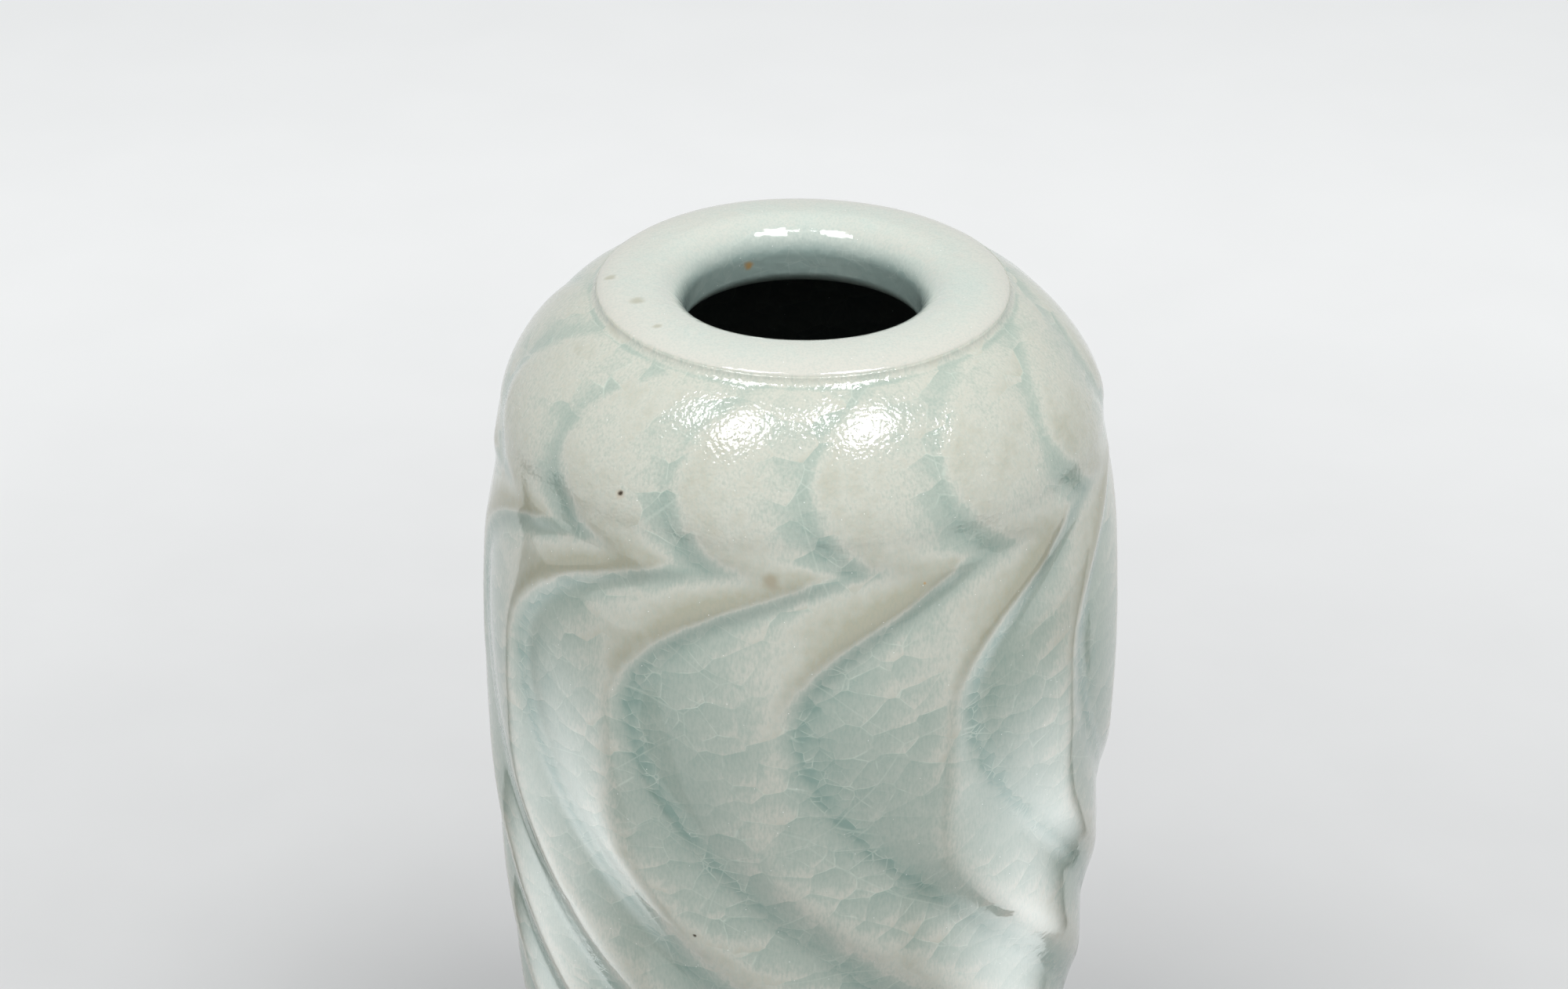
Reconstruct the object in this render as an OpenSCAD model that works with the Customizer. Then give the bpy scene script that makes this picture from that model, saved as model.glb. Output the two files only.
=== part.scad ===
// Carved celadon vase: a thrown and luted porcelain body with swirling flutes under a glassy glaze.
// The axis stands on +Z, the foot rests on z = 0, and the front of the vase faces -Y.

/* [Overall] */
// Height of the vase, from the foot to the crown of the lip
height = 280; // [270:1:300]
// Diameter of the body at its widest, over the ridges
belly_d = 139; // [134:1:146]
// Height of the widest place above the table
belly_h = 193; // [180:1:196]
// Diameter where the body meets the foot
ankle_d = 96; // [90:1:104]

/* [Mouth] */
// Diameter of the lip, over its edge
lip_d = 85; // [85:1:90]
// Diameter of the crown, the highest circle of the lip
crown_d = 66; // [64:1:70]
// Diameter of the throat
throat_d = 49; // [44:1:52]
// Depth from the crown to the straight land of the throat
throat_depth = 7.5; // [7:0.5:10]
// Length of the straight land in the throat
throat_land = 3.5; // [3:0.5:6]
// Diameter of the neck groove under the lip
neck_d = 83; // [81:0.2:83]

/* [Shoulder] */
// Depth from the crown to the line where the shoulder springs from the body
spring_depth = 29; // [27:1:32]
// Depth from the crown to the points of the carved waves
cusp_depth = 34.5; // [33:0.5:38]

/* [Carving] */
// Number of carved waves round the body
waves = 13; // [12:1:14]
// Depth of the carving where it is deepest
carving = 3; // [1:0.1:3.5]
// Flat facets across each wave
facets = 6; // [5:1:7]

/* [Wall] */
// Thickness of the wall from the ridges to the inside of the vase
wall = 8.5; // [8:0.5:10]
// Thickness of the floor
floor_t = 7; // [5:0.5:10]
// Thickness of the glaze on the ridges and the lip
glaze_t = 0.7; // [0.4:0.1:0.9]
// How much deeper the clay is cut than the glaze over it shows, because glaze pools in the grooves
pooling = 1.15; // [1.05:0.05:1.2]

/* [Foot] */
// Height of the foot ring
foot_h = 7; // [5:1:9]
// Width of the ring that touches the table
foot_w = 8; // [6:1:10]
// Height of the line where the glaze stops
glaze_line = 5; // [3:1:6]

/* [Hidden] */
$fn = 96;

porcelain = "#e9e4da";
celadon = "#b5c2b9";
pale_celadon = "#c9cfc8";
deep_celadon = "#454c48";

belly_r = belly_d / 2;
ankle_r = ankle_d / 2;
lip_r = lip_d / 2;
crown_r = crown_d / 2;
throat_r = throat_d / 2;
neck_r = neck_d / 2;

// Depths from the crown to the lip's widest edge, and to the neck groove under it
lip_edge_depth = 2.2;
neck_depth = 3.4;

// Levels, measured up from the table
spring_h = height - spring_depth;
cusp_h = height - cusp_depth;
neck_h = height - neck_depth;
lip_edge_h = height - lip_edge_depth;
land_top_h = height - throat_depth;
land_end_h = land_top_h - throat_land;
floor_top_h = foot_h + floor_t;
joint_h = height / 2;
bulge_h = cusp_h - 33;

// The body's outline is two arcs that meet at the belly
lower_arc_r = (belly_h * belly_h + pow(belly_r - ankle_r, 2)) / (2 * (belly_r - ankle_r));
upper_arc_r = 290;

// The throat opens below its land round this edge, and the mouth ring ends at its foot
throat_edge = 3;
ring_foot_h = land_end_h - throat_edge;
// Where the mouth ring meets the shoulder
ring_seat_r = 37;
// Where the inside of the body starts to close in under the shoulder
inner_spring_h = ring_foot_h - 26;
inner_fillet = 14;
// How far the edges of the foot ring are eased
foot_ease = 1.2;

// Radius of the recess under the floor, inside the foot ring
recess_r = ankle_r - glaze_t - foot_w - foot_ease;

columns = waves * facets;
wave_pitch = 360 / waves;

// The roundness of the shoulder: 2 and 2 would be an ellipse
shoulder_sides = 1.4;
shoulder_top = 1.66;
inner_shoulder = 2.5;

// Radius of the body at height z, over the ridges
function body_r(z) =
    let (arc = z < belly_h ? lower_arc_r : upper_arc_r)
    belly_r - arc + sqrt(arc * arc - pow(z - belly_h, 2));

// Radius of the shoulder at height z, from where it springs up to the neck groove
function shoulder_r(z) =
    let (rise = min(1, (z - spring_h) / (neck_h - spring_h)),
         spring_r = body_r(spring_h))
    neck_r + (spring_r - neck_r) * pow(1 - pow(rise, shoulder_top), 1 / shoulder_sides);

// Radius of the whole outline at height z, over the ridges
function outline_r(z) = z > spring_h ? shoulder_r(z) : body_r(z);

// One groove runs from the neck to the foot. Its angle turns with height in four stretches:
// it leaves the neck along the lip, leans to the wave's point, doubles back to the bulge along
// a quarter of a superellipse, and then winds down to the foot with a steady twist.
lean_h = cusp_h + 16.5;
lean_turn = 10;
neck_turn = 24;
bulge_turn = 38;
bulge_round = 1.3;
twist_per_mm = 1;
twist_ease = 33;
function groove_angle(z) =
    z > lean_h ? neck_turn * (1 - sqrt(max(0, 1 - pow((z - lean_h) / (neck_h - lean_h), 2)))) :
    z > cusp_h ? lean_turn * pow((lean_h - z) / (lean_h - cusp_h), 2) :
    z > bulge_h ? lean_turn - bulge_turn * pow(1 - pow((z - bulge_h) / (cusp_h - bulge_h), 2), 1 / bulge_round) :
    lean_turn - bulge_turn + twist_per_mm * (sqrt(pow(bulge_h - z, 2) + twist_ease * twist_ease) - twist_ease);

// The waves are spaced by hand, so they drift a little from an even spacing, one way on the body
// and the other way on the shoulder
body_drift = 3;
shoulder_drift = -2;
function hand_drift(angle, z) =
    lookup(z, [[cusp_h - 8, body_drift], [cusp_h, shoulder_drift]]) * sin(2 * angle);

// How far the point lies across its wave, from 0 at one groove to 1 at the next
function wave_phase(angle, z) =
    let (waves_passed = (angle - hand_drift(angle, z) - groove_angle(z)) / wave_pitch)
    waves_passed - floor(waves_passed);

// Where the ridge stands across the wave: close after the groove on the shoulder and the lower
// flutes, and close before the next groove on the blades between them
function ridge_phase(z) = lookup(z, [
    [height - 130, 0.26],
    [height - 104, 0.33],
    [height - 94, 0.50],
    [height - 84, 0.74],
    [height - 72, 0.88],
    [cusp_h - 2, 0.92],
    [cusp_h + 2, 0.20]]);

// How deep the carving goes at height z, as a share of the deepest
function carving_share(z) = lookup(z, [
    [floor_top_h - 2, 0],
    [floor_top_h + 14, 0.7],
    [height - 160, 0.95],
    [height - 105, 0.8],
    [height - 70, 0.6],
    [cusp_h - 3, 0.5],
    [cusp_h + 3, 0.38],
    [lean_h, 0.3],
    [neck_h, 0.1]]);

// Shape of the cut at height z: below 1 it is a hollow between sharp ridges, as round the bulge,
// and above 1 the ridges are rounder and the grooves narrower, as on the shoulder
function cut_shape(z) = lookup(z, [
    [height - 110, 1.25],
    [height - 80, 0.9],
    [cusp_h - 3, 0.85],
    [cusp_h + 5, 2.4]]);

// Depth of the carving at one place, from nothing on the ridge to the whole depth in the groove
function carved(angle, z) =
    let (phase = wave_phase(angle, z),
         ridge = ridge_phase(z),
         away = phase < ridge ? (ridge - phase) / ridge : (phase - ridge) / (1 - ridge))
    carving * carving_share(z) * pow(away, cut_shape(z));

// A closed ring round the axis. Each corner of its section is [height, radius, share], where the
// share says how much of the carving is cut into it.
module carved_ring(section) {
    corners = len(section);
    points = [for (corner = section) for (i = [0 : columns - 1])
        let (angle = i * 360 / columns,
             r = corner[1] - corner[2] * carved(angle, corner[0]))
        [r * sin(angle), -r * cos(angle), corner[0]]];
    function at(ring, i) = (ring % corners) * columns + i % columns;
    faces = [for (ring = [0 : corners - 1]) for (i = [0 : columns - 1]) for (half = [0, 1])
        half == 0 ? [at(ring, i), at(ring + 1, i), at(ring, i + 1)]
                  : [at(ring, i + 1), at(ring + 1, i), at(ring + 1, i + 1)]];
    polyhedron(points, faces);
}

// Heights of the rings of corners: wide apart on the lower flutes, close at the points of the
// waves, and spread along the curve on the shoulder
function span(low, high, steps) = [for (i = [0 : steps]) low + (high - low) * i / steps];
lower_levels = span(floor_top_h, joint_h, 11);
upper_levels = concat(
    span(joint_h, cusp_h, 14),
    [for (i = [1 : 7]) cusp_h + (neck_h - cusp_h) * sin(90 * i / 7)]);

// Inside of the body at height z: the clay's face, or with a skin the face of the glaze on it
function inner_body_r(z, skin = 0) = body_r(z) - wall - skin;

// The inside of the vase from the floor up to the mouth ring, as [height, radius]: a round
// fillet on the floor, the wall, and a quarter of a superellipse under the shoulder
function inner_points(skin) =
    let (low = floor_top_h + skin,
         side_low = low + inner_fillet,
         fillet_r = inner_body_r(side_low, skin) - inner_fillet,
         reach = inner_body_r(inner_spring_h, skin) - ring_seat_r,
         rise = ring_foot_h - skin - inner_spring_h)
    concat(
        [for (a = [0 : 22.5 : 67.5]) [side_low - inner_fillet * cos(a), fillet_r + inner_fillet * sin(a)]],
        [for (z = span(side_low, inner_spring_h - 10, 9)) [z, inner_body_r(z, skin)]],
        [for (a = [0 : 15 : 90])
            [inner_spring_h + rise * pow(sin(a), 2 / inner_shoulder),
             ring_seat_r + reach * pow(cos(a), 2 / inner_shoulder)]]);

// Section corners of the clay's inner face between two heights
function clay_inside(low, high) =
    [for (p = inner_points(0)) if (p[0] > low && p[0] < high) [p[0], p[1], 0]];

function flip(list) = [for (i = [len(list) - 1 : -1 : 0]) list[i]];

// Corner of the carved clay face at height z
function clay_corner(z) = [z, outline_r(z) - glaze_t, pooling];

// Rim of the vase with a skin taken off it: the clay ring is the lip less its glaze. The points
// run from the neck groove round the lip, over the crown and down the throat.
function rim_points(skin) =
    let (tuck = lip_edge_h - neck_h)
    concat(
        [for (a = [0 : 22.5 : 67.5])
            [neck_r + (lip_r - neck_r - skin) * sin(a), lip_edge_h - (tuck - skin) * cos(a)]],
        [for (a = [0 : 15 : 75])
            [crown_r + (lip_r - crown_r - skin) * cos(a), lip_edge_h + (lip_edge_depth - skin) * sin(a)]],
        [for (a = [0 : 10 : 90])
            [crown_r - (crown_r - throat_r - skin) * sin(a), land_top_h + (throat_depth - skin) * cos(a)]],
        [for (a = [0 : 22.5 : 90])
            [throat_r + throat_edge - (throat_edge - skin) * cos(a),
             land_end_h - (throat_edge - skin) * sin(a)]]);

// Unglazed ring that the vase stands on, with both edges eased
module foot_ring() {
    outer = ankle_r - glaze_t;
    color(porcelain) rotate_extrude() polygon([
        [recess_r, foot_h],
        [recess_r, foot_ease],
        [recess_r + foot_ease, 0],
        [outer - 2 * foot_ease, 0],
        [outer - foot_ease, foot_ease / 3],
        [outer - foot_ease / 2, foot_ease],
        [body_r(glaze_line) - glaze_t, glaze_line],
        [body_r(foot_h) - glaze_t, foot_h]]);
}

// Floor of the vase, between the foot ring and the walls
module floor_disc() {
    color(porcelain) rotate_extrude() polygon([
        [0, foot_h],
        [body_r(foot_h) - glaze_t, foot_h],
        [body_r(floor_top_h) - glaze_t, floor_top_h],
        [0, floor_top_h]]);
}

// Lower of the two thrown sections, with the flutes winding down it
module lower_wall() {
    color(porcelain) carved_ring(concat(
        [for (z = lower_levels) clay_corner(z)],
        [[joint_h, inner_body_r(joint_h), 0]],
        flip(clay_inside(floor_top_h - 1, joint_h - 2))));
}

// Upper of the two thrown sections, from the joint to the neck
module shoulder_wall() {
    color(porcelain) carved_ring(concat(
        [for (z = upper_levels) if (z < neck_h - 1) clay_corner(z)],
        [[neck_h - glaze_t, neck_r, 0], [neck_h - glaze_t, ring_seat_r, 0]],
        flip(clay_inside(joint_h + 2, ring_foot_h + 1)),
        [[joint_h, inner_body_r(joint_h), 0]]));
}

// Thrown ring of clay that makes the neck, the throat and the lip
module mouth_ring() {
    color(porcelain) rotate_extrude() polygon(concat(
        [[ring_seat_r, ring_foot_h + glaze_t], [ring_seat_r, neck_h - glaze_t]],
        [[neck_r - glaze_t, neck_h - glaze_t]],
        rim_points(glaze_t)));
}

// Glaze over the lip and down the throat
module lip_glaze() {
    color(pale_celadon) rotate_extrude() polygon(concat(
        rim_points(0),
        [[ring_seat_r, ring_foot_h], [ring_seat_r, ring_foot_h + glaze_t]],
        flip(rim_points(glaze_t))));
}

// Glaze over the carved walls, from the neck groove to the line above the foot
module outer_glaze() {
    bare_levels = [glaze_line, floor_top_h / 2 + glaze_line / 2];
    levels = concat(bare_levels, lower_levels, [for (z = upper_levels) if (z > joint_h && z < neck_h - 1) z]);
    color(celadon) carved_ring(concat(
        [for (z = levels) [z, outline_r(z), 1]],
        [[neck_h, neck_r, 0], [neck_h - glaze_t, neck_r, 0]],
        flip([for (z = levels) clay_corner(z)])));
}

// Glaze inside the body
module inner_glaze() {
    color(deep_celadon) rotate_extrude() polygon(concat(
        [[0, floor_top_h]],
        [for (p = inner_points(0)) [p[1], p[0]]],
        [for (p = flip(inner_points(glaze_t))) [p[1], p[0]]],
        [[0, floor_top_h + glaze_t]]));
}

// Glaze in the recess under the floor
module recess_glaze() {
    color(pale_celadon) translate([0, 0, foot_h - glaze_t]) cylinder(h = glaze_t, r = recess_r);
}

foot_ring();
floor_disc();
lower_wall();
shoulder_wall();
mouth_ring();
outer_glaze();
lip_glaze();
inner_glaze();
recess_glaze();
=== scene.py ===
"""Looks of the carved celadon vase, built round its CAD frame.

Lengths are in millimetres in the vase's own frame (axis on +Z, foot on z = 0, front towards -Y) and
turn into metres when a mesh is made. The studio's own sizes and distances are in metres. Angles are
in degrees, from the front of the vase towards +X.
"""

import math

import bpy
import numpy as np
from mathutils import Euler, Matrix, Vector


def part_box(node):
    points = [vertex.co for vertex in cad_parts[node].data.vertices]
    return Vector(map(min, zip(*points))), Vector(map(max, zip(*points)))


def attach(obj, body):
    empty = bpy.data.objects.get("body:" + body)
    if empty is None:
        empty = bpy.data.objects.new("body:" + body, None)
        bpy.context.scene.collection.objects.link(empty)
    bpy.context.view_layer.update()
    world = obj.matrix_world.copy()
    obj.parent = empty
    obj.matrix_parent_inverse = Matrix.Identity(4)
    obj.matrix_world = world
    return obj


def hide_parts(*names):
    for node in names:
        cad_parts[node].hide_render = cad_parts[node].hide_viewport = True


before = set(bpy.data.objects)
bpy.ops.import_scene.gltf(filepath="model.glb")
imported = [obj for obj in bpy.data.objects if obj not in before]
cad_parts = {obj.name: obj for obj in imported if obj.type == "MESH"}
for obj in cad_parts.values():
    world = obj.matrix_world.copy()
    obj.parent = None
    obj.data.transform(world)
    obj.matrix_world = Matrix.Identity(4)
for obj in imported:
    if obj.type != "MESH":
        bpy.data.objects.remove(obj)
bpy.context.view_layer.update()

MM = 0.001


def node_top(node):
    """Height of a node's highest point, in millimetres."""
    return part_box(node)[1][2] / MM


def node_radius(node):
    """Radius of a node over the axis, in millimetres."""
    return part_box(node)[1][0] / MM


# ---------------------------------------------------------------- dimensions, as the CAD has them

HEIGHT = node_top("lip_glaze")
LIP_R = node_radius("mouth_ring") + 0.7
CROWN_R = 33.0
THROAT_R = 24.5
THROAT_DEPTH = 7.5
THROAT_LAND = 3.5
THROAT_EDGE = 3.0
NECK_R = 41.5
RING_SEAT_R = 37.0

BELLY_R = 69.5
BELLY_H = 193.0
ANKLE_R = 48.0
UPPER_ARC_R = 290.0
LOWER_ARC_R = (BELLY_H**2 + (BELLY_R - ANKLE_R) ** 2) / (2 * (BELLY_R - ANKLE_R))

SPRING_H = HEIGHT - 29.0
CUSP_H = HEIGHT - 34.5
NECK_H = HEIGHT - 3.4
LIP_EDGE_H = HEIGHT - 2.2
LAND_TOP_H = HEIGHT - THROAT_DEPTH
LAND_END_H = LAND_TOP_H - THROAT_LAND
RING_FOOT_H = LAND_END_H - THROAT_EDGE
BULGE_H = CUSP_H - 33.0
LEAN_H = CUSP_H + 16.5
INNER_SPRING_H = RING_FOOT_H - 26.0
INNER_FILLET = 14.0

FOOT_H = node_top("foot_ring")
FOOT_W = 8.0
FOOT_EASE = 1.2
FLOOR_TOP_H = node_top("floor_disc")
JOINT_H = node_top("lower_wall")
GLAZE_LINE = 5.0
GLAZE_T = 0.7
POOLING = 1.15
WALL = 8.5

WAVES = 13
CARVING = 3.0

# Powers of the shoulder's superellipse and of the one inside it
SHOULDER_SIDES = 1.4
SHOULDER_TOP = 1.66
INNER_SHOULDER = 2.5


# ---------------------------------------------------------------- the vase's outline and carving


def body_r(z):
    """Radius of the body over its ridges: two arcs that meet at the belly."""
    arc = np.where(z < BELLY_H, LOWER_ARC_R, UPPER_ARC_R)
    return BELLY_R - arc + np.sqrt(arc**2 - (z - BELLY_H) ** 2)


def outline_r(z):
    """Radius of the whole outline over its ridges, from the foot to the neck groove."""
    rise = np.clip((z - SPRING_H) / (NECK_H - SPRING_H), 0, 1)
    spring_r = body_r(SPRING_H)
    shoulder = NECK_R + (spring_r - NECK_R) * (1 - rise**SHOULDER_TOP) ** (1 / SHOULDER_SIDES)
    return np.where(z > SPRING_H, shoulder, body_r(z))


# How far a groove turns on its way, in degrees: over the lean, at the neck and back to the bulge
LEAN_TURN = 10.0
NECK_TURN = 24.0
BULGE_TURN = 38.0
BULGE_ROUND = 1.3

# How far it winds for each millimetre down the body, and how slowly the winding starts
TWIST_PER_MM = 1.0
TWIST_EASE = 33.0


def groove_angle(z):
    """Angle of the first groove at height z. It leaves the neck along the lip, leans to the wave's
    point, doubles back to the bulge and then winds down to the foot."""
    neck = (z - LEAN_H) / (NECK_H - LEAN_H)
    leaving = NECK_TURN * (1 - np.sqrt(np.clip(1 - neck**2, 0, 1)))
    leaning = LEAN_TURN * ((LEAN_H - z) / (LEAN_H - CUSP_H)) ** 2
    back = (z - BULGE_H) / (CUSP_H - BULGE_H)
    doubling = LEAN_TURN - BULGE_TURN * np.clip(1 - back**2, 0, 1) ** (1 / BULGE_ROUND)
    fall = np.maximum(BULGE_H - z, 0)
    winding = LEAN_TURN - BULGE_TURN + TWIST_PER_MM * (np.hypot(fall, TWIST_EASE) - TWIST_EASE)
    below = np.where(z > BULGE_H, doubling, winding)
    return np.where(z > LEAN_H, leaving, np.where(z > CUSP_H, leaning, below))


# How far the carver's hand drifts from an even spacing, in degrees
BODY_DRIFT = 3.0
SHOULDER_DRIFT = -2.0


def by_height(z, stops):
    """Value at height z between given stops of (height, value)."""
    heights, values = zip(*stops)
    return np.interp(z, heights, values)


def wave_phase(angle, z):
    """How far a place lies across its wave, from 0 at one groove to 1 at the next."""
    drift = by_height(z, ((CUSP_H - 8, BODY_DRIFT), (CUSP_H, SHOULDER_DRIFT)))
    hand_drift = drift * np.sin(2 * np.radians(angle))
    return ((angle - hand_drift - groove_angle(z)) * WAVES / 360) % 1.0


# Where the ridge stands across the wave, by height
RIDGE_PHASE = (
    (HEIGHT - 130, 0.26),
    (HEIGHT - 104, 0.33),
    (HEIGHT - 94, 0.50),
    (HEIGHT - 84, 0.74),
    (HEIGHT - 72, 0.88),
    (CUSP_H - 2, 0.92),
    (CUSP_H + 2, 0.20),
)

# How deep the carving goes, by height, as a share of the deepest
CARVING_SHARE = (
    (FLOOR_TOP_H - 2, 0.0),
    (FLOOR_TOP_H + 14, 0.7),
    (HEIGHT - 160, 0.95),
    (HEIGHT - 105, 0.8),
    (HEIGHT - 70, 0.6),
    (CUSP_H - 3, 0.5),
    (CUSP_H + 3, 0.38),
    (LEAN_H, 0.3),
    (NECK_H, 0.1),
)


# Shape of the cut, by height: straight or slightly hollow sides between sharp ridges on the body, and
# broad round ridges with narrow grooves on the shoulder
CUT_SHAPE = ((HEIGHT - 110, 1.0), (HEIGHT - 80, 0.9), (CUSP_H - 3, 0.85), (CUSP_H + 5, 2.4))


def off_ridge(angle, z):
    """How far a place lies from its ridge, from 0 on the ridge to 1 in the groove on either side."""
    phase = wave_phase(angle, z)
    ridge = by_height(z, RIDGE_PHASE)
    return np.where(phase < ridge, (ridge - phase) / ridge, (phase - ridge) / (1 - ridge))


def groove_distance(angle, z):
    """Distance over the surface to the nearest groove, in millimetres."""
    step = 0.05
    phase = wave_phase(angle, z)
    round_the_vase = np.degrees(1 / outline_r(z))
    up_the_vase = (groove_angle(z + step) - groove_angle(z - step)) / (2 * step)
    return np.minimum(phase, 1 - phase) * 360 / WAVES / np.hypot(round_the_vase, up_the_vase)


def carved(angle, z):
    """Depth of the carving: nothing on the ridge, the whole depth in the groove."""
    return CARVING * by_height(z, CARVING_SHARE) * off_ridge(angle, z) ** by_height(z, CUT_SHAPE)


# ---------------------------------------------------------------- meshes


def softened(grid, passes):
    """Grid of values over the vase, smoothed as melting glaze smooths an edge."""
    for _ in range(passes):
        grid = (np.roll(grid, 1, 1) + 2 * grid + np.roll(grid, -1, 1)) / 4
        padded = np.vstack([grid[:1], grid, grid[-1:]])
        grid = (padded[:-2] + 2 * grid + padded[2:]) / 4
    return grid


def ring_mesh(name, radius, height, columns, attributes=None):
    """Closed solid round the axis from grids of radius and height, one row for each corner of its
    section. A row holds one value for all the way round, or one for each column."""
    rows = len(radius)
    turn = np.radians(np.arange(columns) * 360 / columns)
    radius = np.broadcast_to(radius, (rows, columns))
    height = np.broadcast_to(height, (rows, columns))
    points = np.stack([radius * np.sin(turn), -radius * np.cos(turn), height], axis=-1)
    row, column = np.meshgrid(np.arange(rows), np.arange(columns), indexing="ij")
    next_row, next_column = (row + 1) % rows, (column + 1) % columns
    quads = np.stack(
        [
            row * columns + column,
            row * columns + next_column,
            next_row * columns + next_column,
            next_row * columns + column,
        ],
        axis=-1,
    )
    mesh = bpy.data.meshes.new(name)
    mesh.from_pydata((points * MM).reshape(-1, 3).tolist(), [], quads.reshape(-1, 4).tolist())
    for key, values in (attributes or {}).items():
        layer = mesh.attributes.new(key, "FLOAT", "POINT")
        layer.data.foreach_set("value", np.broadcast_to(values, (rows, columns)).astype(np.float32).ravel())
    mesh.shade_smooth()
    piece = bpy.data.objects.new(name, mesh)
    bpy.context.collection.objects.link(piece)
    return piece


def column(values):
    """A list of section values as a column, one row each."""
    return np.array(values, dtype=float).reshape(-1, 1)


def evenly(low, high, step):
    """Values from low up to high, about one step apart."""
    return np.linspace(low, high, max(2, int(round((high - low) / step)) + 1))


# Under the lip the pooled glaze fills the neck groove with a fillet from this height up
FILLET_H = NECK_H - 1.0


def neck_fillet(steps):
    """Curve of the pooled glaze from the shoulder up to the lip's edge, as (radius, height)."""
    start = np.array([outline_r(FILLET_H), FILLET_H])
    corner = np.array([LIP_R, NECK_H - 0.3])
    end = np.array([LIP_R - 0.02, LIP_EDGE_H + 0.2])
    t = np.linspace(0, 1, steps + 1)[1:].reshape(-1, 1)
    return (1 - t) ** 2 * start + 2 * t * (1 - t) * corner + t**2 * end


def outline_heights(coarse, fine):
    """Heights of the rows of the outer glaze: coarse steps on the lower body, fine steps measured
    along the outline above it, where the waves turn."""
    fine_from = HEIGHT - 125
    dense = np.linspace(fine_from, FILLET_H, 4000)
    along = np.concatenate([[0], np.cumsum(np.hypot(np.diff(dense), np.diff(outline_r(dense))))])
    upper = np.interp(evenly(0, along[-1], fine), along, dense)
    return np.concatenate([evenly(GLAZE_LINE, fine_from, coarse)[:-1], upper])


def outline_normal(z):
    """Outward normal of the outline at each height, as its radial and its upward part."""
    reach = 0.02
    above = np.minimum(z + reach, NECK_H - reach)
    below = np.maximum(z - reach, 0)
    d_r = outline_r(above) - outline_r(below)
    d_z = above - below
    length = np.hypot(d_r, d_z)
    return d_z / length, -d_r / length


# How thick the glaze lies, by height, from 0 where the clay shows through to 1 in a deep pool
# Low on the body its thinner, paler glaze also paints light bounced up from the floor, and at the height of
# the hollows its deeper, darker glaze paints some of their shade
GLAZE_DEPTH = (
    (GLAZE_LINE, 0.75),
    (GLAZE_LINE + 8, 0.6),
    (HEIGHT - 125, 0.34),
    (HEIGHT - 100, 0.46),
    (HEIGHT - 70, 0.60),
    (CUSP_H - 4, 0.42),
    (CUSP_H + 5, 0.30),
    (LEAN_H, 0.30),
    (NECK_H - 1, 0.36),
)

# The least glaze that a ridge keeps, by height: none on the blades at the waves' points
THINNEST = ((HEIGHT - 100, 0.27), (HEIGHT - 75, 0.14), (CUSP_H - 8, 0.0), (CUSP_H + 4, 0.2))

# How much of the glaze has run off the ridges, by height: most off the blades at the waves' points,
# where the dark bare colour that shows through also paints the blades' shade
RUN_OFF = (
    (HEIGHT - 110, 0.03),
    (HEIGHT - 90, 0.10),
    (CUSP_H - 26, 0.24),
    (CUSP_H - 4, 0.42),
    (CUSP_H + 4, 0.05),
)
RUN_OFF_SPREAD = 0.6

# How much glaze a hollow gains over its surroundings, for the deepest carving
HOLLOW_GAIN = 1.7
SURROUNDINGS_LOSS = 1.5

# How much glaze the sharp bottom of a groove holds, by height
GROOVE_POOL = (
    (HEIGHT - 150, 0.06),
    (HEIGHT - 110, 0.10),
    (HEIGHT - 88, 0.24),
    (CUSP_H - 10, 0.16),
    (CUSP_H, 0.10),
    (LEAN_H, 0.06),
    (NECK_H - 4, 0.02),
)
GROOVE_POOL_R = 1.3

# The pockets of glaze over the waves' points: height, half height, shift and half width across the
# wave, and how much glaze one holds
POCKET_H = CUSP_H + 5
POCKET_REACH = 7.0
POCKET_SHIFT = 0.03
POCKET_WIDTH = 0.18
POCKET_POOL = 0.22

# How thick the glaze lies up the fillet under the lip
FILLET_POOL = (0.45, 0.3, 0.3, 0.3, 0.3)

# How far the melted glaze fills the bottom of a groove, in millimetres, and how wide
GROOVE_FILL = 0.4
GROOVE_FILL_R = 1.9


def on_glaze(angle, z):
    """Radius and height of the glaze's surface at one place of the outline."""
    out, up = outline_normal(z)
    depth = carved(angle, z)
    return float(outline_r(z) - out * depth), float(z - up * depth)


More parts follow.
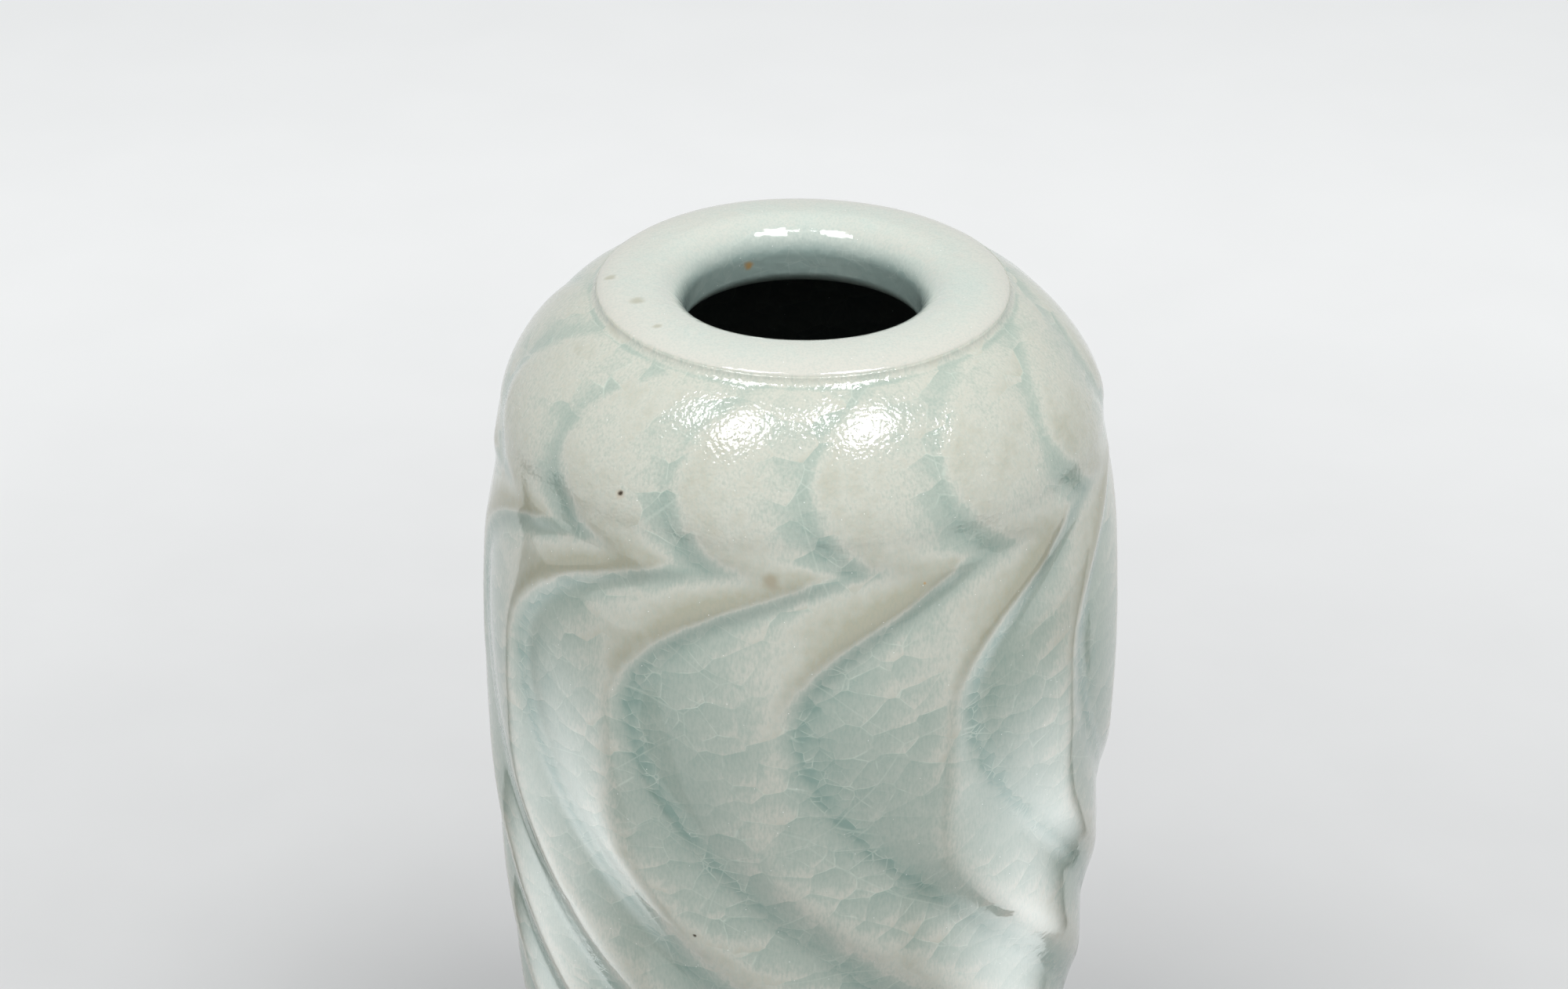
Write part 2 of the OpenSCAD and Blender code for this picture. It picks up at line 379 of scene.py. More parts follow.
def build_outer_glaze():
    """Glaze over the carved walls, with the carving's real curves and a plain inner face. It lies
    thin on the ridges and deep in the grooves, and deepest in the pockets over the waves' points."""
    columns = WAVES * 32
    z = outline_heights(coarse=1.8, fine=0.95).reshape(-1, 1)
    angle = np.arange(columns).reshape(1, -1) * 360 / columns
    clay_depth = softened(carved(angle, z), 5)
    smooth_depth = softened(clay_depth, 12)
    off_groove = groove_distance(angle, z)
    fill = GROOVE_FILL * by_height(z, CARVING_SHARE) * np.exp(-((off_groove / GROOVE_FILL_R) ** 2))
    depth = clay_depth - fill
    valley = by_height(z, GROOVE_POOL) * np.exp(-((off_groove / GROOVE_POOL_R) ** 2))
    run_off = softened(by_height(z, RUN_OFF) * (1 - off_ridge(angle, z)) ** RUN_OFF_SPREAD, 3)
    phase = wave_phase(angle, z) + POCKET_SHIFT
    to_groove = np.minimum(phase, 1 - phase)
    pocket = np.exp(-(((z - POCKET_H) / POCKET_REACH) ** 2) - (to_groove / POCKET_WIDTH) ** 2)
    hollow = (HOLLOW_GAIN * clay_depth - SURROUNDINGS_LOSS * smooth_depth) / CARVING
    pool = by_height(z, GLAZE_DEPTH) + valley - run_off + hollow + POCKET_POOL * pocket
    pool = np.clip(pool, by_height(z, THINNEST), 1)
    out, up = outline_normal(z)
    inner_h = np.array([NECK_H - GLAZE_T, SPRING_H + 12, SPRING_H - 4, BELLY_H, JOINT_H, 60.0, GLAZE_LINE])
    inner_r = under_glaze_r(inner_h)
    inner_r[0] = NECK_R
    around = np.ones((1, columns))
    fillet = neck_fillet(len(FILLET_POOL))
    fillet_pool = column(FILLET_POOL)
    inner_pool = np.zeros((len(inner_h), 1))
    return ring_mesh(
        "outer_glaze_coat",
        np.vstack([outline_r(z) - out * depth, fillet[:, :1] * around, column(inner_r) * around]),
        np.vstack([z - up * depth, fillet[:, 1:] * around, column(inner_h) * around]),
        columns,
        {"pool": np.vstack([pool, fillet_pool * around, inner_pool * around])},
    )


def under_glaze_r(z):
    """Radius of the clay under the glaze, just under the deepest groove at each height."""
    return outline_r(z) - GLAZE_T - POOLING * CARVING * by_height(z, CARVING_SHARE)


def arc(centre, reach, start, end, step):
    """Points (radius, height) on a quarter or part of an ellipse, by angle from straight outwards."""
    turns = np.radians(np.linspace(start, end, max(2, int(abs(end - start) / step) + 1)))
    return [(centre[0] + reach[0] * math.cos(t), centre[1] + reach[1] * math.sin(t)) for t in turns]


def rim_points(skin, step):
    """The lip less a skin, from the neck groove round the edge, over the crown and down the throat."""
    tuck = arc((NECK_R, LIP_EDGE_H), (LIP_R - NECK_R - skin, LIP_EDGE_H - NECK_H - skin), -90, 0, step)
    dome = arc((CROWN_R, LIP_EDGE_H), (LIP_R - CROWN_R - skin, HEIGHT - LIP_EDGE_H - skin), 0, 90, step)
    roll = arc((CROWN_R, LAND_TOP_H), (CROWN_R - THROAT_R - skin, THROAT_DEPTH - skin), 90, 180, step)
    edge_reach = THROAT_EDGE - skin
    edge = arc((THROAT_R + THROAT_EDGE, LAND_END_H), (edge_reach, edge_reach), 180, 270, step)
    return tuck[:-1] + dome[:-1] + roll + edge


def build_lip_glaze():
    """Glaze over the lip and down the throat: thin on the edge and the crown, pooled in the throat,
    where its darkening into the mouth also paints the shade there.
    """
    outside = rim_points(0, 3)
    seat = [(RING_SEAT_R, RING_FOOT_H), (RING_SEAT_R, RING_FOOT_H + GLAZE_T)]
    points = np.array(outside + seat + rim_points(GLAZE_T, 15)[::-1])
    columns = 256
    angle = np.radians(np.arange(columns) * 360 / columns)
    # The thrower's hand leaves the lip a little out of level
    sway = 0.12 * np.sin(2 * angle + 0.6) + 0.07 * np.sin(5 * angle + 2.1) - 0.19
    on_top = np.clip((points[:, 1:2] - LAND_TOP_H) / THROAT_DEPTH, 0, 1)
    throat = np.clip((CROWN_R - points[:, :1]) / (CROWN_R - THROAT_R), 0, 1)
    edge = np.clip((points[:, :1] - CROWN_R) / (LIP_R - CROWN_R), 0, 1)
    tucked = (points[:, 1:2] < LIP_EDGE_H) & (points[:, :1] > CROWN_R)
    # Deeper towards the throat: partly pooled glaze, partly painted shade going down into the mouth
    pool = np.where(tucked, 0.4, 0.34 + 0.66 * throat**10 - 0.3 * edge**3)
    return ring_mesh(
        "lip_glaze_coat",
        points[:, :1] * np.ones((1, columns)),
        points[:, 1:2] + on_top * sway,
        columns,
        {"pool": pool},
    )


def inside_points(skin, step):
    """Inside of the vase from the floor to the mouth ring: a fillet, the wall and the shoulder."""
    low = FLOOR_TOP_H + skin + INNER_FILLET
    fillet_r = body_r(low) - WALL - skin - INNER_FILLET
    fillet = arc((fillet_r, low), (INNER_FILLET, INNER_FILLET), -90, 0, step)
    wall = [(body_r(z) - WALL - skin, z) for z in evenly(low, INNER_SPRING_H - 2, 1.5)[1:]]
    spring_r = body_r(INNER_SPRING_H) - WALL - skin
    rise = RING_FOOT_H - skin - INNER_SPRING_H
    power = 2 / INNER_SHOULDER
    shoulder = [
        (
            RING_SEAT_R + (spring_r - RING_SEAT_R) * max(0.0, math.cos(a)) ** power,
            INNER_SPRING_H + rise * math.sin(a) ** power,
        )
        for a in np.radians(np.linspace(0, 90, int(90 / step) + 1))
    ]
    return fillet + wall + shoulder


def build_inner_glaze():
    """Glaze inside the body, with the low spiral ridges that the thrower's fingers left in the wall."""
    face = np.array(inside_points(GLAZE_T, 5))
    back = np.array(inside_points(0, 15)[::-1])
    centre = [(0.02, FLOOR_TOP_H), (0.02, FLOOR_TOP_H + GLAZE_T)]
    points = np.vstack([centre[:1], back[::-1], face[::-1], centre[1:]])
    columns = 120
    angle = np.arange(columns) * 360 / columns
    on_wall = (points[:, :1] > THROAT_R) & (np.arange(len(points)) > len(back)).reshape(-1, 1)
    ridge_pitch = 9.0
    ridges = 0.25 * np.cos(2 * math.pi * points[:, 1:2] / ridge_pitch - np.radians(angle)) - 0.25
    radius = points[:, :1] + np.where(on_wall, ridges, 0.0) * (points[:, 1:2] < INNER_SPRING_H)
    return ring_mesh("inner_glaze_coat", radius, points[:, 1:2], columns, {"pool": 0.6})


def turned(name, points, columns):
    """Plain turned piece from its section, as (radius, height) points."""
    section = np.array(points)
    return ring_mesh(name, section[:, :1], section[:, 1:2], columns, {"pool": 0.5})


def build_lower_wall():
    """Clay of the lower thrown section, under the glaze."""
    heights = evenly(FLOOR_TOP_H, JOINT_H, 6)
    outside = [(under_glaze_r(z), z) for z in heights]
    inside = [p for p in inside_points(0, 15) if p[1] < JOINT_H - 1]
    top = (body_r(JOINT_H) - WALL, JOINT_H)
    return turned("lower_wall_clay", outside + [top] + inside[::-1], 128)


def build_shoulder_wall():
    """Clay of the upper thrown section, under the glaze."""
    over_spring = SPRING_H + (NECK_H - 2 - SPRING_H) * np.array([0.3, 0.6, 0.85])
    heights = np.concatenate([evenly(JOINT_H, SPRING_H, 6), over_spring])
    outside = [(under_glaze_r(z), z) for z in heights]
    neck = [(RING_SEAT_R + 1, NECK_H - 3), (RING_SEAT_R, NECK_H - 3)]
    inside = [p for p in inside_points(0, 15) if p[1] > JOINT_H + 1]
    low = (body_r(JOINT_H) - WALL, JOINT_H)
    return turned("shoulder_wall_clay", outside + neck + inside[::-1] + [low], 128)


def build_foot_ring():
    """Unglazed foot ring, with wiped edges and a groove where the turning tool cut the foot."""
    outer, inner = ANKLE_R - GLAZE_T, ANKLE_R - GLAZE_T - FOOT_W - FOOT_EASE
    points = [(inner, FOOT_H)]
    points += arc((inner + FOOT_EASE, FOOT_EASE), (FOOT_EASE, FOOT_EASE), 180, 270, 15)
    points += arc((outer - 2.4, 1.6), (1.6, 1.6), 270, 360, 15)
    points += [(outer - 0.8, 2.6), (outer - 1.0, 3.0), (outer - 0.6, 3.6)]
    points += [(body_r(z) - GLAZE_T, z) for z in (4.4, GLAZE_LINE, FOOT_H)]
    return turned("foot_ring_clay", points, 192)


def build_recess_glaze():
    """Glaze in the recess under the floor, thick against the ring and thin in the middle."""
    recess_r = ANKLE_R - GLAZE_T - FOOT_W - FOOT_EASE
    radii = evenly(0.05, recess_r, 2)
    face = [(r, FOOT_H - 0.25 - 0.45 * (r / recess_r) ** 4) for r in radii]
    return turned("recess_glaze_coat", face + [(recess_r, FOOT_H), (0.05, FOOT_H)], 128)


# ---------------------------------------------------------------- materials

FLOOR_DIM = (0.545, 0.545, 0.545)
FLOOR_PALE = (0.565, 0.565, 0.565)

# The light table's glow, and how far from the floor's middle it is full, in metres. The glow rises
# away from the floor's dim middle, which paints shade on the floor near the vase.
TABLE_GLOW = 0.49
FLOOR_SHADE_R = 0.95


class Shader:
    """One material, with short calls for the nodes it needs. Node lengths are in metres."""

    def __init__(self, name):
        self.material = bpy.data.materials.new(name)
        self.material.use_nodes = True
        self.tree = self.material.node_tree
        self.surface = self.tree.nodes["Principled BSDF"]
        self.place = self.add("TexCoord").outputs["Object"]

    def add(self, kind, **settings):
        """New node of one kind with its settings."""
        node = self.tree.nodes.new("ShaderNode" + kind)
        for key, value in settings.items():
            setattr(node, key, value)
        return node

    def put(self, socket, value):
        """Link an output to a socket, or set the socket to a plain value."""
        if isinstance(value, bpy.types.NodeSocket):
            self.tree.links.new(value, socket)
        else:
            socket.default_value = value

    def math(self, operation, first, second=0.0, third=0.0):
        """Result of one operation on plain values or outputs."""
        node = self.add("Math", operation=operation)
        for socket, value in zip(node.inputs, (first, second, third)):
            self.put(socket, value)
        return node.outputs[0]

    def between(self, value, low, high, out_low=0.0, out_high=1.0):
        """Smooth step from out_low to out_high as the value goes from low to high."""
        node = self.add("MapRange", interpolation_type="SMOOTHSTEP")
        self.put(node.inputs["Value"], value)
        limits = (("From Min", low), ("From Max", high), ("To Min", out_low), ("To Max", out_high))
        for key, limit in limits:
            node.inputs[key].default_value = limit
        return node.outputs["Result"]

    def noise(self, size_mm, detail=2.0, distortion=0.0, place=None):
        """Noise with features of about this size."""
        node = self.add("TexNoise")
        self.put(node.inputs["Vector"], place or self.place)
        node.inputs["Scale"].default_value = 1 / (size_mm * MM)
        node.inputs["Detail"].default_value = detail
        node.inputs["Distortion"].default_value = distortion
        return node.outputs["Fac"]

    def shaken(self, size_mm, by_mm):
        """The place, shaken about by noise, so that cracks wander."""
        node = self.add("TexNoise")
        self.put(node.inputs["Vector"], self.place)
        node.inputs["Scale"].default_value = 1 / (size_mm * MM)
        node.inputs["Detail"].default_value = 2.0
        centred = self.add("VectorMath", operation="SUBTRACT")
        self.put(centred.inputs[0], node.outputs["Color"])
        centred.inputs[1].default_value = (0.5, 0.5, 0.5)
        scaled = self.add("VectorMath", operation="SCALE")
        self.put(scaled.inputs[0], centred.outputs[0])
        scaled.inputs["Scale"].default_value = by_mm * MM
        moved = self.add("VectorMath", operation="ADD")
        self.put(moved.inputs[0], self.place)
        self.put(moved.inputs[1], scaled.outputs[0])
        return moved.outputs[0]

    def stretched(self, place, across, along):
        """A place with its level parts and its upright part scaled, to draw a pattern out."""
        node = self.add("VectorMath", operation="MULTIPLY")
        self.put(node.inputs[0], place)
        node.inputs[1].default_value = (across, across, along)
        return node.outputs[0]

    def crackle(self, cell_mm, line_mm, wander_mm, slope):
        """A crackle with cells of about this size. Gives the lines, 1 on a crack and 0 off it, and
        the tilt of the shards between them, from -0.5 to 0.5 across each shard down the slope."""
        place = self.stretched(self.shaken(cell_mm * 1.3, wander_mm), 1.0, 1.3)
        edges = self.add("TexVoronoi", feature="DISTANCE_TO_EDGE")
        cells = self.add("TexVoronoi", feature="F1")
        for node in (edges, cells):
            self.put(node.inputs["Vector"], place)
            node.inputs["Scale"].default_value = 1 / (cell_mm * MM)
        from_middle = self.add("VectorMath", operation="SUBTRACT")
        self.put(from_middle.inputs[0], place)
        self.put(from_middle.inputs[1], cells.outputs["Position"])
        tilt = self.add("VectorMath", operation="DOT_PRODUCT")
        self.put(tilt.inputs[0], from_middle.outputs[0])
        tilt.inputs[1].default_value = tuple(part / (cell_mm * MM) for part in slope)
        lines = self.between(edges.outputs["Distance"], 0.0, line_mm / cell_mm, 1.0, 0.0)
        return lines, tilt.outputs["Value"]

    def painted_glints(self, apart_mm, size_mm):
        """Painted glints standing in for light caught by tiny bubbles at the glaze's surface: 1 on a glint,
        0 off it.
        """
        node = self.add("TexVoronoi", feature="F1")
        self.put(node.inputs["Vector"], self.place)
        node.inputs["Scale"].default_value = 1 / (apart_mm * MM)
        size = size_mm / apart_mm
        return self.between(node.outputs["Distance"], 0.5 * size, size, 1.0, 0.0)

    def spot(self, angle, radius, height, size_mm):
        """A round spot on the vase: 1 in its middle, 0 outside it."""
        turn = math.radians(angle)
        away = self.add("VectorMath", operation="DISTANCE")
        self.put(away.inputs[0], self.shaken(size_mm, 0.6 * size_mm))
        middle = (radius * math.sin(turn), -radius * math.cos(turn), height)
        away.inputs[1].default_value = tuple(part * MM for part in middle)
        return self.between(away.outputs["Value"], 0.15 * size_mm * MM, 0.6 * size_mm * MM, 1.0, 0.0)

    def mix(self, share, first, second):
        """Colour between two colours."""
        node = self.add("Mix", data_type="RGBA")
        self.put(node.inputs[0], share)
        self.put(node.inputs[6], (*first, 1.0) if isinstance(first, tuple) else first)
        self.put(node.inputs[7], (*second, 1.0) if isinstance(second, tuple) else second)
        return node.outputs[2]

    def ramp(self, value, stops):
        """Colour along given stops of (value, colour)."""
        node = self.add("ValToRGB")
        ramp = node.color_ramp
        for index, (position, colour) in enumerate(stops):
            element = ramp.elements[index] if index < 2 else ramp.elements.new(position)
            element.position = position
            element.color = (*colour, 1.0)
        self.put(node.inputs[0], value)
        return node.outputs[0]

    def bump(self, height, depth_mm, under=None):
        """Normal of a height pattern with this depth, over another bump if one is given."""
        node = self.add("Bump")
        node.inputs["Distance"].default_value = depth_mm * MM
        self.put(node.inputs["Height"], height)
        if under is not None:
            self.put(node.inputs["Normal"], under)
        return node.outputs["Normal"]

    def attribute(self, name):
        """Value stored on the mesh's points."""
        return self.add("Attribute", attribute_name=name).outputs["Fac"]

    def from_middle(self):
        """Distance from the middle of the object."""
        node = self.add("VectorMath", operation="LENGTH")
        self.put(node.inputs[0], self.place)
        return node.outputs["Value"]

    def height(self):
        """Height over the foot."""
        node = self.add("SeparateXYZ")
        self.put(node.inputs[0], self.place)
        return node.outputs["Z"]


# How deep the orange peel of the glaze is below the shoulder, in millimetres
FLAT_PEEL = 0.02


def glaze_cracks(s, pool, crackle):
    """Lines and shards of the crackle, both stronger in pools and lost where the glaze is thin. Gives
    the lines, from 0 to 1, and how far each place is tilted on its shard."""
    in_pools = s.between(pool, 0.45, 0.8)
    patches = s.between(s.noise(24, detail=1.0), 0.36, 0.56, 0.25, 1.0)
    patches = s.math("MULTIPLY", patches, s.between(pool, 0.24, 0.42))
    shown = s.math("MULTIPLY", s.math("MAXIMUM", patches, in_pools), crackle)
    broad_lines, broad_tilt = s.crackle(7.5, 0.22, 2.4, slope=(-0.5, 0.0, 0.9))
    fine_lines, fine_tilt = s.crackle(3.6, 0.16, 1.2, slope=(0.6, 0.3, 0.8))
    long_lines, _ = s.crackle(40.0, 0.30, 8.0, slope=(0.0, 0.0, 1.0))
    tilt = s.math("MULTIPLY_ADD", fine_tilt, s.math("MULTIPLY", in_pools, 1.2), broad_tilt)

    broken = s.between(s.noise(4, detail=2.0), 0.42, 0.64, 0.05, 1.0)
    fine_shown = s.math("MULTIPLY", fine_lines, s.math("MAXIMUM", in_pools, 0.25))
    lines = s.math("MULTIPLY", s.math("MAXIMUM", broad_lines, fine_shown), broken)
    lines = s.math("MULTIPLY", s.math("MAXIMUM", lines, s.math("MULTIPLY", long_lines, 0.5)), shown)
    return s.math("MULTIPLY", lines, 0.5), s.math("MULTIPLY", tilt, shown)


def glaze_colour(s, pool, colours, lines, tilt, spots):
    """Colour of the glaze by how thick it lies, with its clouds, flecks, brush marks, cracks and
    spots, painted shade across the crackle's tilted shards and painted glints on tiny bubbles."""
    thickness = pool
    cloud = s.noise(15, detail=3.0)
    fleck = s.noise(2.2, detail=4.0)
    fibre = s.noise(0.5, detail=2.0, place=s.stretched(s.place, 1.0, 0.35))
    for pattern, depth in ((cloud, 0.26), (fleck, 0.16), (fibre, 0.12)):
        thickness = s.math("ADD", thickness, s.math("MULTIPLY_ADD", pattern, depth, -depth / 2))
    # Painted shade: each crackle shard is darker towards its top and paler towards its bottom, as a tilted
    # shard catches the light
    thickness = s.math("MULTIPLY_ADD", tilt, 0.24, thickness)
    bare, thin, middle, deep = colours
    colour = s.ramp(thickness, ((0.08, bare), (1.0, deep), (0.28, thin), (0.42, middle)))
    colour = s.mix(s.between(fibre, 0.35, 0.75, 0.0, 0.22), colour, deep)
    light_line = tuple(min(1.0, 1.35 * part) for part in middle)
    colour = s.mix(lines, colour, light_line)
    # Painted glints: near-white specks in the colour, for light caught by tiny bubbles
    colour = s.mix(s.painted_glints(2.4, 0.12), colour, (0.9, 0.92, 0.9))
    for angle, radius, height, size, tint in spots:
        colour = s.mix(s.spot(angle, radius, height, size), colour, tint)
    return colour


def glaze(name, colours, shoulder_peel=FLAT_PEEL, peel_size=1.0, crackle=1.0, spots=()):
    """Celadon glaze. The four colours go from bare, where it has run off an edge, over thin and
    middle to deep, where it pools. Its skin has an orange peel of this size and, over the shoulder,
    of this depth in millimetres. A spot is (angle, radius, height, size, colour)."""
    s = Shader(name)
    pool = s.attribute("pool")
    lines, tilt = glaze_cracks(s, pool, crackle)
    s.put(s.surface.inputs["Base Color"], glaze_colour(s, pool, colours, lines, tilt, spots))

    below, above = (SPRING_H - 8) * MM, (SPRING_H + 6) * MM
    peel_depth = s.between(s.height(), below, above, FLAT_PEEL, shoulder_peel)
    peel = s.bump(s.math("MULTIPLY", s.noise(peel_size, detail=1.0), peel_depth), 1.0)
    shards = s.math("ADD", s.math("SUBTRACT", 1.0, lines), tilt)
    s.put(s.surface.inputs["Normal"], s.bump(shards, 0.02, peel))
    s.put(s.surface.inputs["Roughness"], s.between(s.noise(9, detail=2.0), 0.3, 0.7, 0.05, 0.10))
    s.surface.inputs["IOR"].default_value = 1.52
    return s.material


def bare_porcelain():
    """Unglazed porcelain: pale, dry and finely speckled, a little toasted at the glaze's edge."""
    s = Shader("bare_porcelain")
    grain = s.noise(0.9, detail=4.0)
    cloud = s.noise(12, detail=2.0)
    body = s.ramp(cloud, ((0.3, (0.66, 0.60, 0.52)), (0.7, (0.76, 0.71, 0.63))))
    toast = s.between(s.height(), 3.2 * MM, GLAZE_LINE * MM)
    toasted = s.mix(s.math("MULTIPLY", toast, 0.55), body, (0.60, 0.40, 0.24))
    speck = s.math("MULTIPLY", s.between(s.noise(1.6, detail=1.0), 0.70, 0.76), 0.6)
    s.put(s.surface.inputs["Base Color"], s.mix(speck, toasted, (0.32, 0.22, 0.15)))
    s.put(s.surface.inputs["Normal"], s.bump(grain, 0.08))
    s.put(s.surface.inputs["Roughness"], s.between(grain, 0.2, 0.8, 0.68, 0.85))
    return s.material


def floor_material():
    """Matt pale paper over a light table, whose glow fades towards the middle of the floor; the fade
    paints shade on the floor near the vase.
    """
    s = Shader("pale_paper")
    paper = s.ramp(s.noise(60, detail=3.0), ((0.3, FLOOR_DIM), (0.7, FLOOR_PALE)))
    s.put(s.surface.inputs["Base Color"], paper)
    s.put(s.surface.inputs["Normal"], s.bump(s.noise(1.5, detail=2.0), 0.02))
    s.surface.inputs["Roughness"].default_value = 0.85
    s.surface.inputs["Specular IOR Level"].default_value = 0.0
    s.surface.inputs["Emission Color"].default_value = (0.98, 1.0, 1.0, 1.0)
    glow = s.between(s.from_middle(), 0.0, FLOOR_SHADE_R, 0.0, TABLE_GLOW)
    s.put(s.surface.inputs["Emission Strength"], glow)
    return s.material


# ---------------------------------------------------------------- the vase


def place(piece, node, material, slot):
    """Give a piece its material, put it on the vase's one body and let it stand for its CAD node."""
    piece.data.materials.clear()
    piece.data.materials.append(material)
    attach(piece, "root")
    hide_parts(node)


def repaint(node, material):
    """Give a CAD node a better material; its shape stays."""
    for material_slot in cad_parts[node].material_slots:
        material_slot.material = material


# Colours of the glazes, from where they have run off an edge to where they pool. The body's bare
# colour is darker than its clay, so that on the blades at the waves' points it also paints their shade.
BODY_COLOURS = ((0.41, 0.40, 0.31), (0.56, 0.565, 0.495), (0.435, 0.485, 0.425), (0.24, 0.34, 0.295))
LIP_COLOURS = ((0.60, 0.59, 0.53), (0.60, 0.61, 0.55), (0.56, 0.615, 0.56), (0.33, 0.425, 0.395))
# The inner glaze is painted near black: painted shade for the dark inside of the vase
INNER_SHADE_COLOURS = ((0.22, 0.21, 0.19), (0.20, 0.20, 0.18), (0.14, 0.15, 0.14), (0.08, 0.10, 0.10))
RECESS_COLOURS = ((0.70, 0.66, 0.56), (0.70, 0.68, 0.60), (0.60, 0.64, 0.58), (0.40, 0.50, 0.46))

IRON = (0.05, 0.035, 0.02)
RUST = (0.46, 0.31, 0.14)
SMOKE = (0.46, 0.46, 0.38)

# Burnt specks and stains on the body, as (angle, height on the outline, size, colour)
BODY_MARKS = (
    (-34.7, HEIGHT - 23.4, 2.4, (0.50, 0.46, 0.37)),
    (-34.7, HEIGHT - 23.2, 1.3, IRON),
    (21.3, HEIGHT - 37.4, 0.8, RUST),
    (-18.4, HEIGHT - 119.9, 0.9, IRON),
    (-5.4, HEIGHT - 35.0, 4.5, (0.37, 0.34, 0.25)),
)

# Stains on the lip and in the throat, as (angle, radius, height, size, colour)
LIP_SPOTS = (
    (-152.0, THROAT_R + 0.2, LAND_TOP_H - 0.8, 2.6, RUST),
    (-88.9, 39.6, HEIGHT - 0.9, 2.6, SMOKE),
    (-69.3, 35.8, HEIGHT - 0.2, 3.2, SMOKE),
    (-50.6, 37.5, HEIGHT - 0.4, 2.0, SMOKE),
)


def build_vase():
    """All the pieces of the vase with their materials."""
    clay = bare_porcelain()
    body_spots = [(angle, *on_glaze(angle, z), size, colour) for angle, z, size, colour in BODY_MARKS]
    body = glaze("celadon_glaze", BODY_COLOURS, shoulder_peel=0.15, spots=body_spots)
    lip = glaze("lip_glaze", LIP_COLOURS, 0.12, peel_size=2.2, crackle=0.25, spots=LIP_SPOTS)
    # Inner glaze with its colours darkened as painted shade
    inside = glaze("inner_glaze", INNER_SHADE_COLOURS)
    recess = glaze("recess_glaze", RECESS_COLOURS)
    place(build_outer_glaze(), "outer_glaze", body, "celadon_glaze")
    place(build_lip_glaze(), "lip_glaze", lip, "lip_glaze")
    place(build_inner_glaze(), "inner_glaze", inside, "inner_glaze")
    place(build_recess_glaze(), "recess_glaze", recess, "recess_glaze")
    place(build_lower_wall(), "lower_wall", clay, "bare_porcelain")
    place(build_shoulder_wall(), "shoulder_wall", clay, "bare_porcelain")
    place(build_foot_ring(), "foot_ring", clay, "bare_porcelain")
    repaint("floor_disc", clay)
    repaint("mouth_ring", clay)


# ---------------------------------------------------------------- the studio

FLOOR_SIZE = 16.0
FLOOR_MIDDLE = (0.0, -0.2, 0.0)
FLOOR_DROP = 0.0002
SOFTBOX_SIZE = 0.37
SOFTBOX_DISTANCE = 1.1
CARD_SIZE = 0.28
CARD_DISTANCE = 0.22
FILL_SIZE = 0.6
FILL_DISTANCE = 0.95
FLUTES_H = HEIGHT - 110

# How bright the air is overhead and at the horizon, and the rise at which it is as dim as overhead
AIR_LEVEL = 0.36
HORIZON_LEVEL = 0.66
AIR_RISE = 0.4


def square(name, size, material, drop=0.0):
    """Flat square round its own middle, for the studio."""
    half = size / 2
    mesh = bpy.data.meshes.new(name)
    corners = [(x * half, y * half, -drop) for x, y in ((-1, -1), (1, -1), (1, 1), (-1, 1))]
    mesh.from_pydata(corners, [], [(0, 1, 2, 3)])
    mesh.materials.append(material)
    return bpy.data.objects.new(name, mesh)


def build_floor():
    """Wide pale floor under the vase. Its dim middle, painted shade, lies just in front of the vase."""
    floor = square("studio_floor", FLOOR_SIZE, floor_material(), FLOOR_DROP)
    floor.location = FLOOR_MIDDLE
    bpy.context.collection.objects.link(floor)


def aim(thing, centre, azimuth, elevation, distance):
    """Stand a thing off from a point on the vase's axis, facing it."""
    a, e = math.radians(azimuth), math.radians(elevation)
    away = np.array([math.sin(a) * math.cos(e), -math.cos(a) * math.cos(e), math.sin(e)])
    thing.location = away * distance + np.array([0, 0, centre * MM])
    thing.rotation_euler = Euler((math.radians(90 - elevation), 0, math.radians(azimuth)))
    thing.visible_camera = False
    bpy.context.collection.objects.link(thing)


def lamp(name, size, watts, colour=(1.0, 1.0, 1.0)):
    """Square lamp, not yet placed."""
    light = bpy.data.lights.new(name, "AREA")
    light.size = size
    light.energy = watts
    light.color = colour
    return bpy.data.objects.new(name, light)


def build_softbox(name, azimuth, elevation, watts):
    """Square softbox over the front of the vase, aimed at the shoulder."""
    aim(lamp(name, SOFTBOX_SIZE, watts), SPRING_H, azimuth, elevation, SOFTBOX_DISTANCE)


def build_fill(watts):
    """Wide weak lamp level with the flutes, in front of the vase, with no reflection of its own."""
    fill = lamp("front_fill", FILL_SIZE, watts, (0.88, 0.96, 1.0))
    aim(fill, FLUTES_H, 0, 0, FILL_DISTANCE)
    fill.visible_glossy = False


def card_material(name, glow):
    """White card lit in its middle, fading to its edge, so that its reflection has no hard edge."""
    s = Shader(name)
    s.surface.inputs["Base Color"].default_value = (0.0, 0.0, 0.0, 1.0)
    s.surface.inputs["Emission Color"].default_value = (0.96, 0.99, 1.0, 1.0)
    s.put(s.surface.inputs["Emission Strength"], s.between(s.from_middle(), 0.0, CARD_SIZE / 2, glow, 0.0))
    return s.material


def build_card(name, azimuth, elevation, glow):
    """Bounce card low beside the vase, seen only in the reflections on its flutes."""
    card = square(name, CARD_SIZE, card_material(name, glow))
    aim(card, FLUTES_H, azimuth, elevation, CARD_DISTANCE)
    card.visible_diffuse = False
    card.visible_shadow = False


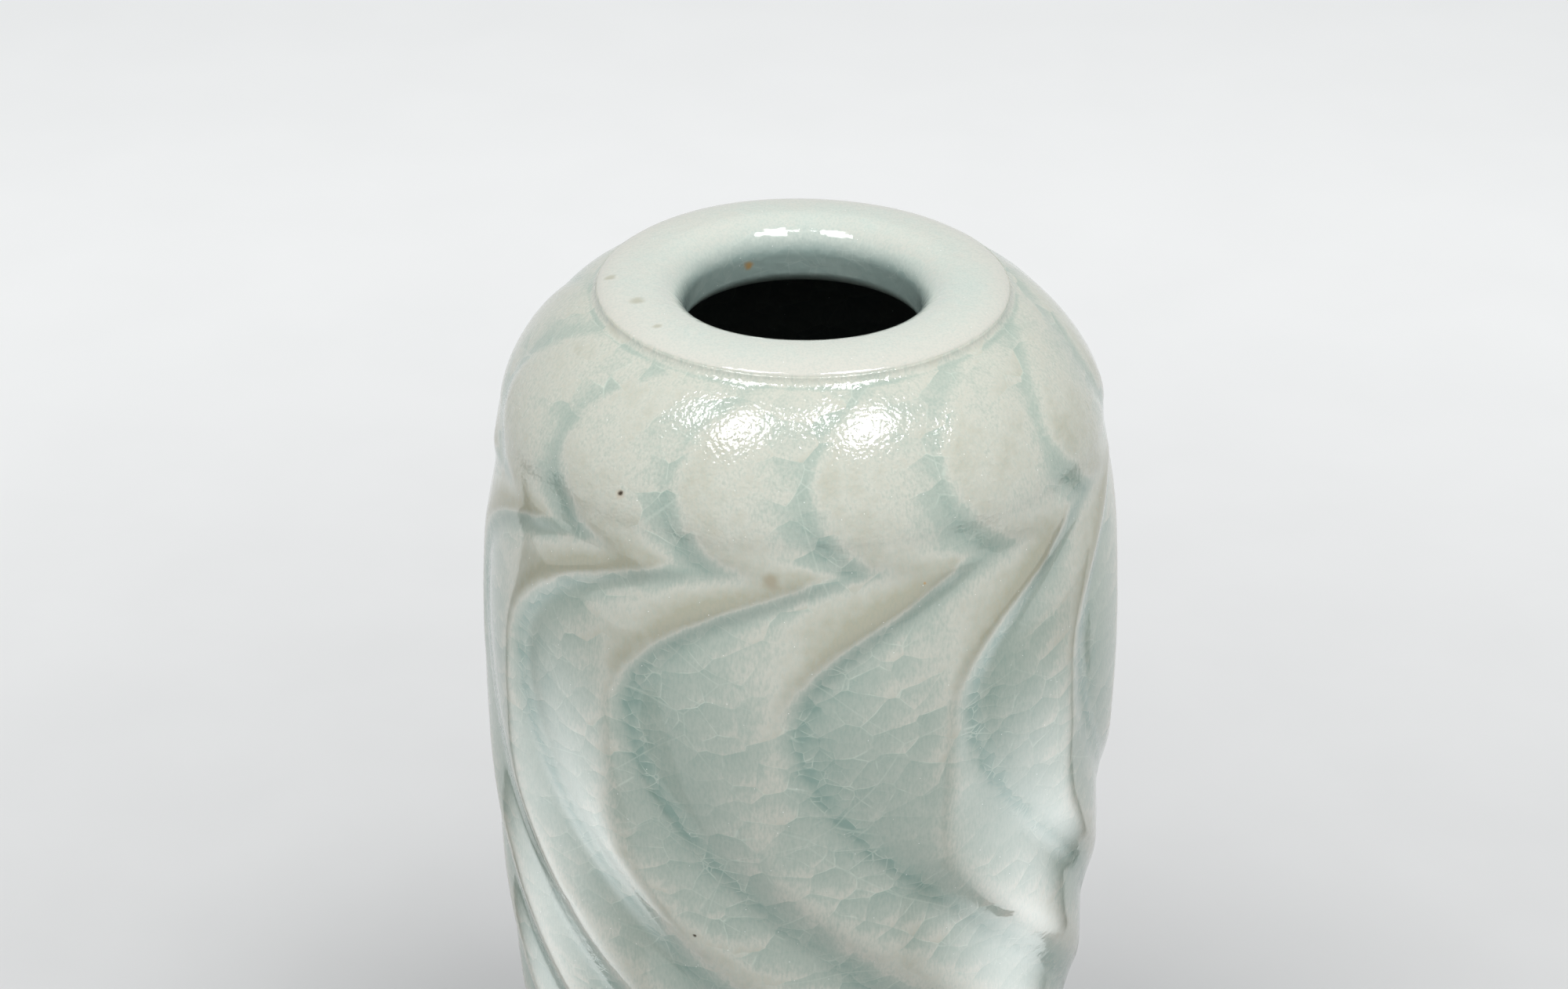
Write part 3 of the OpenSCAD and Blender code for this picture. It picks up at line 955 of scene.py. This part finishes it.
def build_air():
    """Soft light from all round, palest at the horizon, where it meets the floor."""
    world = bpy.data.worlds.new("studio_air")
    bpy.context.scene.world = world
    world.use_nodes = True
    nodes, links = world.node_tree.nodes, world.node_tree.links
    direction = nodes.new("ShaderNodeTexCoord")
    parts = nodes.new("ShaderNodeSeparateXYZ")
    level = nodes.new("ShaderNodeMapRange")
    level.inputs["From Max"].default_value = AIR_RISE
    level.inputs["To Min"].default_value = HORIZON_LEVEL
    level.inputs["To Max"].default_value = AIR_LEVEL
    air = nodes["Background"]
    air.inputs["Color"].default_value = (0.96, 0.98, 1.0, 1.0)
    links.new(direction.outputs["Generated"], parts.inputs[0])
    links.new(parts.outputs["Z"], level.inputs["Value"])
    links.new(level.outputs["Result"], air.inputs["Strength"])


def build_studio():
    """Floor, air, lamps and cards."""
    build_floor()
    build_air()
    build_softbox("left_softbox", azimuth=-48, elevation=65, watts=5.5)
    build_softbox("right_softbox", azimuth=46, elevation=66, watts=7.0)
    build_fill(watts=0.9)
    build_card("left_card", azimuth=-80, elevation=-32, glow=3.8)
    build_card("right_card", azimuth=76, elevation=-36, glow=4.6)


# Where the camera stands, with its height over the lip, and how it is turned, in degrees
CAMERA_X = -0.0037
CAMERA_Y = -0.5263
CAMERA_OVER_LIP = 0.245
CAMERA_TILT = 29.45
CAMERA_ROLL = 0.29


def build_camera():
    """Camera in front of the vase and above it, looking down at the shoulder."""
    camera = bpy.data.cameras.new("camera")
    camera.lens = 64.8
    camera.sensor_width = 36.0
    holder = bpy.data.objects.new("camera", camera)
    holder.location = (CAMERA_X, CAMERA_Y, HEIGHT * MM + CAMERA_OVER_LIP)
    holder.rotation_mode = "QUATERNION"
    look = Euler((math.radians(90 - CAMERA_TILT), 0, 0)).to_quaternion()
    holder.rotation_quaternion = look @ Euler((0, 0, math.radians(CAMERA_ROLL))).to_quaternion()
    bpy.context.collection.objects.link(holder)
    bpy.context.scene.camera = holder


build_camera()
build_vase()
build_studio()
bpy.context.scene.view_settings.view_transform = "Standard"

bpy.context.view_layer.update()
